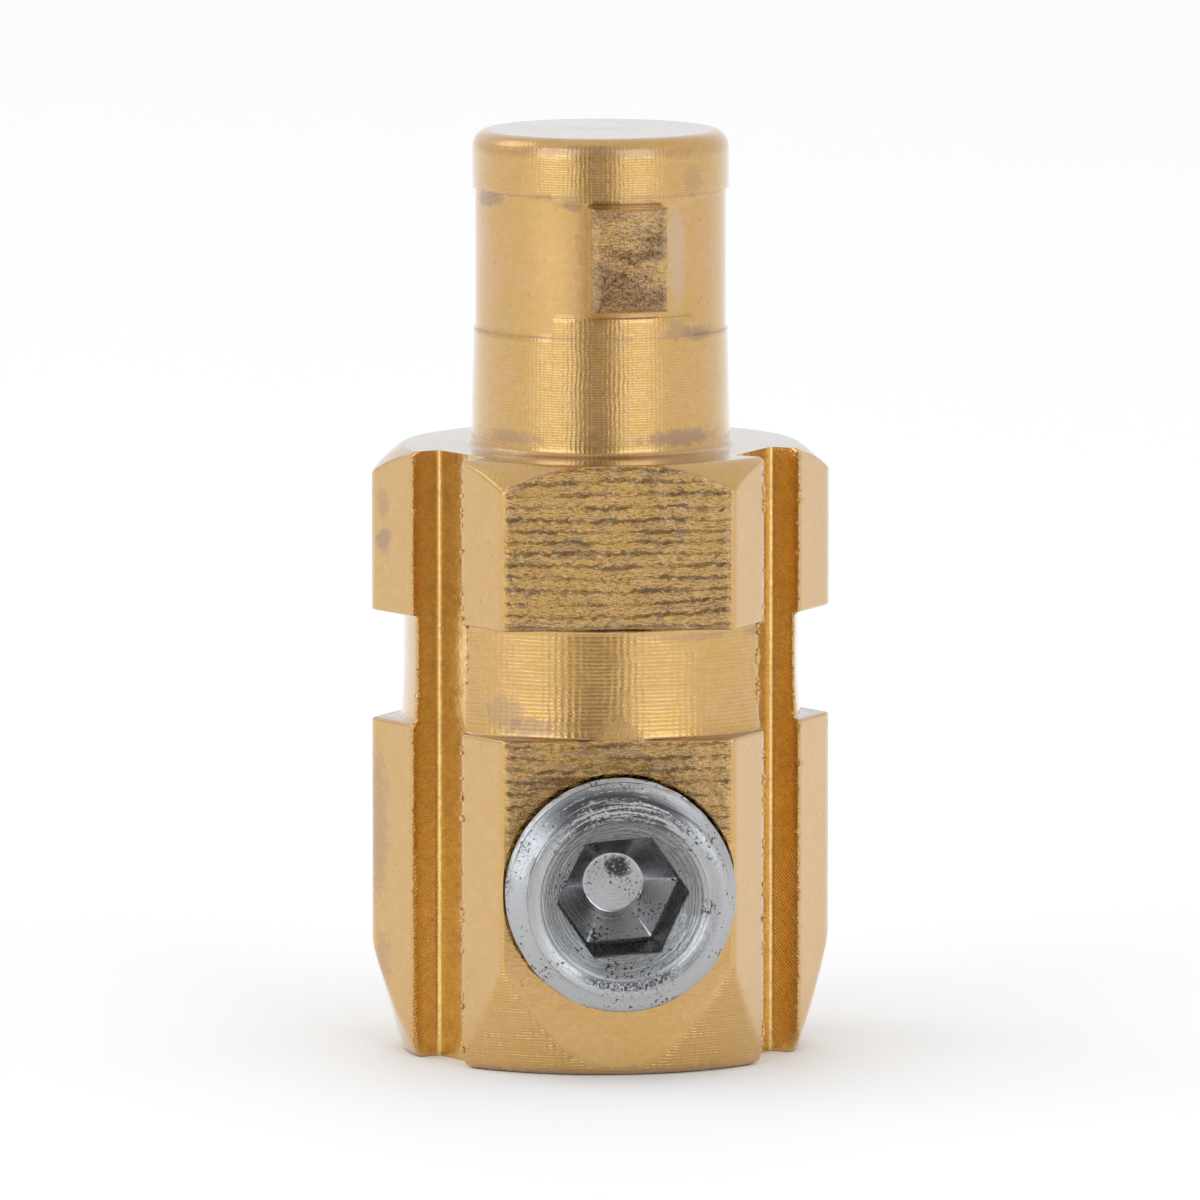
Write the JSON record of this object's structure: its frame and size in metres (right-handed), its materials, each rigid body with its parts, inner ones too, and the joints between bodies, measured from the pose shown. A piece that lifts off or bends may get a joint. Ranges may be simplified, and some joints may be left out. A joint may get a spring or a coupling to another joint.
{
  "type": "welding cable plug contact",
  "caption": "Brass twist-lock contact insert: round spigot with a bayonet key, hexagon body with keyways and a blind cable bore, and a hexagon-socket set screw that clamps the cable.",
  "frame": {"origin": "centre of the spigot's flat tip face, on the spigot's axis", "axes": "+Z out of the spigot's tip, along the body's length; -Y is where the clamping screw looks; +X to its right; the bottom face is at Z -32.5 mm"},
  "size_m": [0.0162, 0.0164, 0.0325],
  "materials": {
    "turned_brass": "turned and milled, with fine tool marks",
    "plated_steel": "bright zinc plating, a little pitted"
  },
  "bodies": {
    "insert": {"contact_body": "turned_brass"},
    "screw": {"clamp_screw": "plated_steel"}
  },
  "joints": [
    {"name": "clamp_screw_travel", "type": "slide", "parent": "insert", "child": "screw", "axis": [0, -1, 0], "range_m": [-0.0025, 0.005]}
  ]
}
